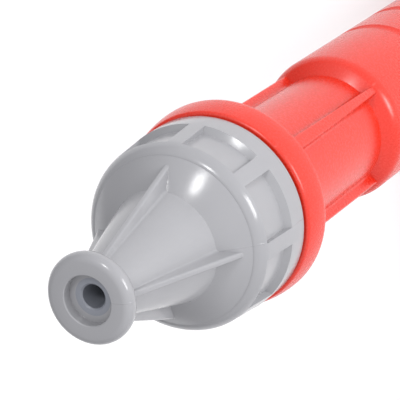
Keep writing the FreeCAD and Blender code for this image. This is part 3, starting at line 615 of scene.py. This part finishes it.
grip_line = []
for band in reversed(range(BANDS)):
    band_middle = grip_front - BAND_FIRST - band * BAND_PITCH
    centre = (GRIP_RADIUS + BAND_CUTTER - BAND_DEPTH, band_middle)
    grip_line.extend(arc(centre, BAND_CUTTER, 180 + band_half, 180 - band_half, BAND_STEPS))
barrel_blank = turned("barrel_blank", [
    (0, 0), (HOSE_COLLAR, 0, 1.0), (HOSE_COLLAR, HOSE_COLLAR_LENGTH, 1.5),
    (GRIP_RADIUS, HOSE_COLLAR_LENGTH + HOSE_COLLAR_SLOPE, 1.5), *grip_line,
    (GRIP_RADIUS, grip_front, 2.2), (CORE_RADIUS - CORE_INSET, grip_front + GRIP_STEP + 0.5),
    (CORE_RADIUS + CORE_FLARE - CORE_INSET, flange_rear), (FLANGE_RADIUS, flange_rear, 2.4),
    *arc(flange_centre, flange_arc, 0, flange_end, FLANGE_STEPS)[:-1],
    (FLANGE_RADIUS - FLANGE_TAPER, flange_front, 0.8), (0, flange_front),
])
neck_start = grip_front - NECK_OVERLAP
neck_end = flange_rear + NECK_OVERLAP
flare_slope = CORE_FLARE / (NECK_LENGTH - GRIP_STEP)
rear_core = CORE_RADIUS - flare_slope * (GRIP_STEP + NECK_OVERLAP)
front_core = CORE_RADIUS + CORE_FLARE + flare_slope * NECK_OVERLAP
neck_crest = CORE_RADIUS + NECK_RIB_HEIGHT
neck = ribbed(
    "neck",
    (neck_start, (rear_core, neck_crest, NECK_RIB_REAR, RIB_DRAFT, NECK_ROOT_ROUND, 0.45)),
    (neck_end, (front_core, neck_crest, NECK_RIB_FRONT, RIB_DRAFT, NECK_ROOT_ROUND, 0.5)),
    turn=NECK_RIB_TURN,
)
barrel_solid = combined(barrel_blank, neck, "UNION")
waterway = turned("waterway", [
    (0, -OVERCUT), (INSERT_RADIUS, -OVERCUT), (INSERT_RADIUS, ANCHOR_START),
    (ANCHOR_RADIUS, ANCHOR_START), (ANCHOR_RADIUS, ANCHOR_START + ANCHOR_WIDTH),
    (INSERT_RADIUS, ANCHOR_START + ANCHOR_WIDTH), (INSERT_RADIUS, insert_front),
    (WATERWAY, insert_front), (WATERWAY, straightener_rear), (TAIL_RADIUS, straightener_rear),
    (TAIL_RADIUS, flange_front - PLATE_THICKNESS), (PLATE_RADIUS, flange_front - PLATE_THICKNESS),
    (PLATE_RADIUS, flange_front + OVERCUT), (0, flange_front + OVERCUT),
])
PILOT_HOLES = 4
PILOT_SEGMENTS = 32
PILOT_RADIUS = 1.6
PILOT_CIRCLE = 22.9
pilot_end = ends("spigot_screws")[0]


def pilot_holes():
    """The blind holes in the flange that the spigot's screws cut their thread in."""
    bm = bmesh.new()
    depth = flange_front + OVERCUT - pilot_end
    centre = Vector((PILOT_CIRCLE, 0, pilot_end + depth / 2)) * MM
    for number in range(PILOT_HOLES):
        turn = Matrix.Rotation(2 * math.pi * number / PILOT_HOLES, 4, "Z")
        bmesh.ops.create_cone(bm, cap_ends=True, segments=PILOT_SEGMENTS, radius1=PILOT_RADIUS * MM,
                              radius2=PILOT_RADIUS * MM, depth=depth * MM,
                              matrix=turn @ Matrix.Translation(centre))
    return to_mesh(bm, "pilot_holes")


barrel_hollow = combined(barrel_solid, waterway, "DIFFERENCE")
barrel_mesh = combined(barrel_hollow, pilot_holes(), "DIFFERENCE")
finish_piece(barrel_mesh, "barrel_moulding", "barrel_body", red_moulding, "barrel")

# %% [markdown]
# ## Floor, camera and light
# A long lens well back keeps the nozzle's proportions true. The light is a studio's: a soft
# box, a smaller one for the clear highlight on the head, and a pale room whose light falls off to
# one side, so that the satin plastic shows broad highlights and pale shadows.

# %% Set the stage
FLOOR_HALF = 3.0
floor_bm = bmesh.new()
bmesh.ops.create_grid(floor_bm, x_segments=1, y_segments=1, size=FLOOR_HALF)
floor_mesh = bpy.data.meshes.new("floor")
floor_bm.to_mesh(floor_mesh)
floor_bm.free()
floor = bpy.data.objects.new("floor", floor_mesh)
bpy.context.scene.collection.objects.link(floor)
floor_paint, _, floor_shader, _ = new_material("matt_white_backdrop")
floor_shader.inputs["Base Color"].default_value = linear("#fafafa")
floor_shader.inputs["Roughness"].default_value = 0.9
floor_mesh.materials.append(floor_paint)

# The camera's own axes, and where it stands in millimetres.
CAMERA_PLACE = Vector((224.262, -281.936, 720.211))
FIELD_OF_VIEW = math.radians(10)
SENSOR_WIDTH = 36
camera_right = Vector((-0.03201, -0.88437, -0.46569))
camera_up = Vector((0.93782, 0.13455, -0.31997))
camera_back = Vector((0.34563, -0.44698, 0.82508))
camera_data = bpy.data.cameras.new("camera")
camera_data.sensor_width = SENSOR_WIDTH
camera_data.lens = SENSOR_WIDTH / 2 / math.tan(FIELD_OF_VIEW / 2)
camera_data.clip_start = 0.05
camera = bpy.data.objects.new("camera", camera_data)
turn = Matrix((camera_right, camera_up, camera_back)).transposed().to_4x4()
camera.matrix_world = Matrix.Translation(CAMERA_PLACE * MM) @ turn
bpy.context.scene.collection.objects.link(camera)
bpy.context.scene.camera = camera

target = Vector((0, 0, 0.215))


def soft_box(name, right, up, back, width, height, power):
    """A rectangular light placed by how far it is to the camera's right, up and back."""
    light = bpy.data.lights.new(name, "AREA")
    light.shape = "RECTANGLE"
    light.size = width
    light.size_y = height
    light.energy = power
    lamp = bpy.data.objects.new(name, light)
    lamp.location = target + camera_right * right + camera_up * up + camera_back * back
    lamp.rotation_euler = (target - lamp.location).to_track_quat("-Z", "Y").to_euler()
    bpy.context.scene.collection.objects.link(lamp)


soft_box("key", 0.72, 0.2, 0.62, 0.35, 0.35, 4.6)
soft_box("glint", -0.33, 0.40, 0.95, 0.15, 0.22, 2.6)

# The room is white on one side and overhead, and falls off towards the opposite wall.
BRIGHT_SIDE = (0.33, -0.8, 0.5)
DIM_WALL = 0.36
BRIGHT_WALL = 1.3
FALL_OFF_HALF = 0.5
world = bpy.data.worlds.new("room")
world.use_nodes = True
room = world.node_tree
room_light = room.nodes["Background"]
room_light.inputs["Color"].default_value = linear("#fbfbfd")
direction = room.nodes.new("ShaderNodeTexCoord")
towards_bright_side = room.nodes.new("ShaderNodeVectorMath")
towards_bright_side.operation = "DOT_PRODUCT"
towards_bright_side.inputs[1].default_value = BRIGHT_SIDE
fall_off = room.nodes.new("ShaderNodeMapRange")
fall_off.interpolation_type = "SMOOTHSTEP"
fall_off.inputs["From Min"].default_value = -FALL_OFF_HALF
fall_off.inputs["From Max"].default_value = FALL_OFF_HALF
fall_off.inputs["To Min"].default_value = DIM_WALL
fall_off.inputs["To Max"].default_value = BRIGHT_WALL
room.links.new(direction.outputs["Generated"], towards_bright_side.inputs[0])
room.links.new(towards_bright_side.outputs["Value"], fall_off.inputs["Value"])
room.links.new(fall_off.outputs["Result"], room_light.inputs["Strength"])
bpy.context.scene.world = world
bpy.context.scene.view_settings.view_transform = "Standard"
